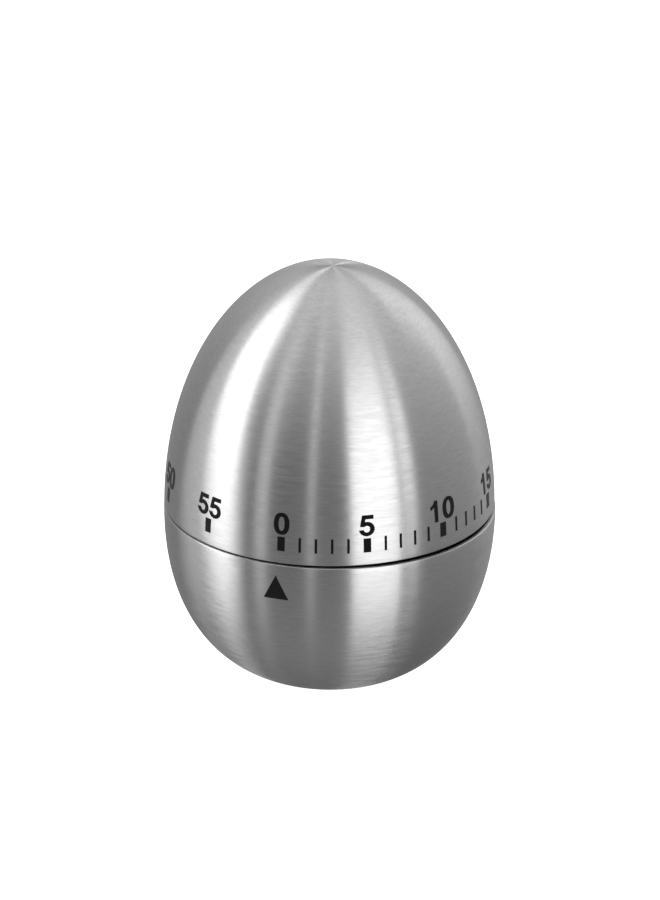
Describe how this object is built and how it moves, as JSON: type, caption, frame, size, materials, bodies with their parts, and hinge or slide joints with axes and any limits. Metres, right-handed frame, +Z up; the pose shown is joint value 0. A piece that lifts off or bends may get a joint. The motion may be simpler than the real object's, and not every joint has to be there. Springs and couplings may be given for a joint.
{
  "type": "kitchen timer",
  "caption": "Egg-shaped mechanical kitchen timer: a steel upper shell turns on a clockwork movement to set the minutes, over a fixed lower shell with a flat base.",
  "frame": {"origin": "centre of the flat base, on the surface it stands on", "axes": "+Z up along the dial's axis; -Y is the front, from which the printed pointer is about 19 degrees to the left"},
  "size_m": [0.0602, 0.0602, 0.078],
  "materials": {
    "brushed_shell": "brushed round the egg, satin",
    "steel": "plain bright sheet and wire",
    "blued_steel": "hardened spring strip, blue-black",
    "brass": "stamped brass",
    "black_plastic": "fine matt moulded surface"
  },
  "bodies": {
    "base": {"lower_shell": "brushed_shell", "base_housing": "black_plastic", "base_cover": "black_plastic", "cover_screw_1": "steel", "cover_screw_2": "steel", "cover_screw_3": "steel", "bell": "steel", "bell_screw": "steel", "bottom_plate": "steel", "top_plate": "steel", "pillar_1": "steel", "pillar_2": "steel", "pillar_3": "steel", "pillar_nut_1": "steel", "pillar_nut_2": "steel", "pillar_nut_3": "steel", "plate_screw_1": "steel", "plate_screw_2": "steel", "plate_screw_3": "steel", "stop_pin": "steel", "spring_post": "steel", "mainspring": "blued_steel", "hammer_spring": "blued_steel"},
    "dial": {"dial_cap": "brushed_shell", "dial_liner": "black_plastic", "main_arbor": "steel", "ratchet_wheel": "steel", "alarm_cam": "brass", "stop_tab": "steel"},
    "great": {"great_wheel": "brass", "click_spring": "steel", "click_rivet_1": "steel", "click_rivet_2": "steel"},
    "second": {"second_arbor": "steel", "second_wheel": "brass", "strike_wheel": "steel"},
    "third": {"third_arbor": "steel", "third_wheel": "brass"},
    "escape": {"escape_arbor": "steel", "escape_wheel": "brass"},
    "balance": {"balance_arbor": "steel", "balance_wheel": "brass", "pallet": "steel", "pallet_pin_1": "steel", "pallet_pin_2": "steel"},
    "hammer": {"hammer_arbor": "steel", "trip_lever": "steel", "strike_finger": "steel", "hammer_arm": "steel", "hammer_head": "brass"}
  },
  "joints": [
    {"name": "dial_turn", "type": "hinge", "parent": "base", "child": "dial", "pos_m": [0, 0, 0.0318], "axis": [0, 0, -1], "range_deg": [0, 348], "deforming": ["mainspring"]},
    {"name": "great_turn", "type": "hinge", "parent": "base", "child": "great", "pos_m": [0, 0, 0.0192], "axis": [0, 0, -1], "range_deg": [0, 348]},
    {"name": "second_turn", "type": "hinge", "parent": "base", "child": "second", "pos_m": [0.01368, 0, 0.0199], "axis": [0, 0, -1], "range_deg": [-2784, 0]},
    {"name": "third_turn", "type": "hinge", "parent": "base", "child": "third", "pos_m": [0.01179, 0.00861, 0.0199], "axis": [0, 0, -1], "range_deg": [0, 16704]},
    {"name": "escape_turn", "type": "hinge", "parent": "base", "child": "escape", "pos_m": [0.00516, 0.01366, 0.0199], "axis": [0, 0, -1], "range_deg": [-100224, 0]},
    {"name": "balance_rock", "type": "hinge", "parent": "base", "child": "balance", "pos_m": [-0.00235, 0.01481, 0.0199], "axis": [0, 0, 1], "range_deg": [-6, 6]},
    {"name": "hammer_swing", "type": "hinge", "parent": "base", "child": "hammer", "pos_m": [0.01278, -0.00963, 0.0199], "axis": [0, 0, -1], "range_deg": [0, 4], "deforming": ["hammer_spring"]}
  ],
  "couplings": [
    {"joint": "great_turn", "follows": "dial_turn", "ratio": 1},
    {"joint": "second_turn", "follows": "dial_turn", "ratio": -8},
    {"joint": "third_turn", "follows": "dial_turn", "ratio": 48},
    {"joint": "escape_turn", "follows": "dial_turn", "ratio": -288}
  ]
}
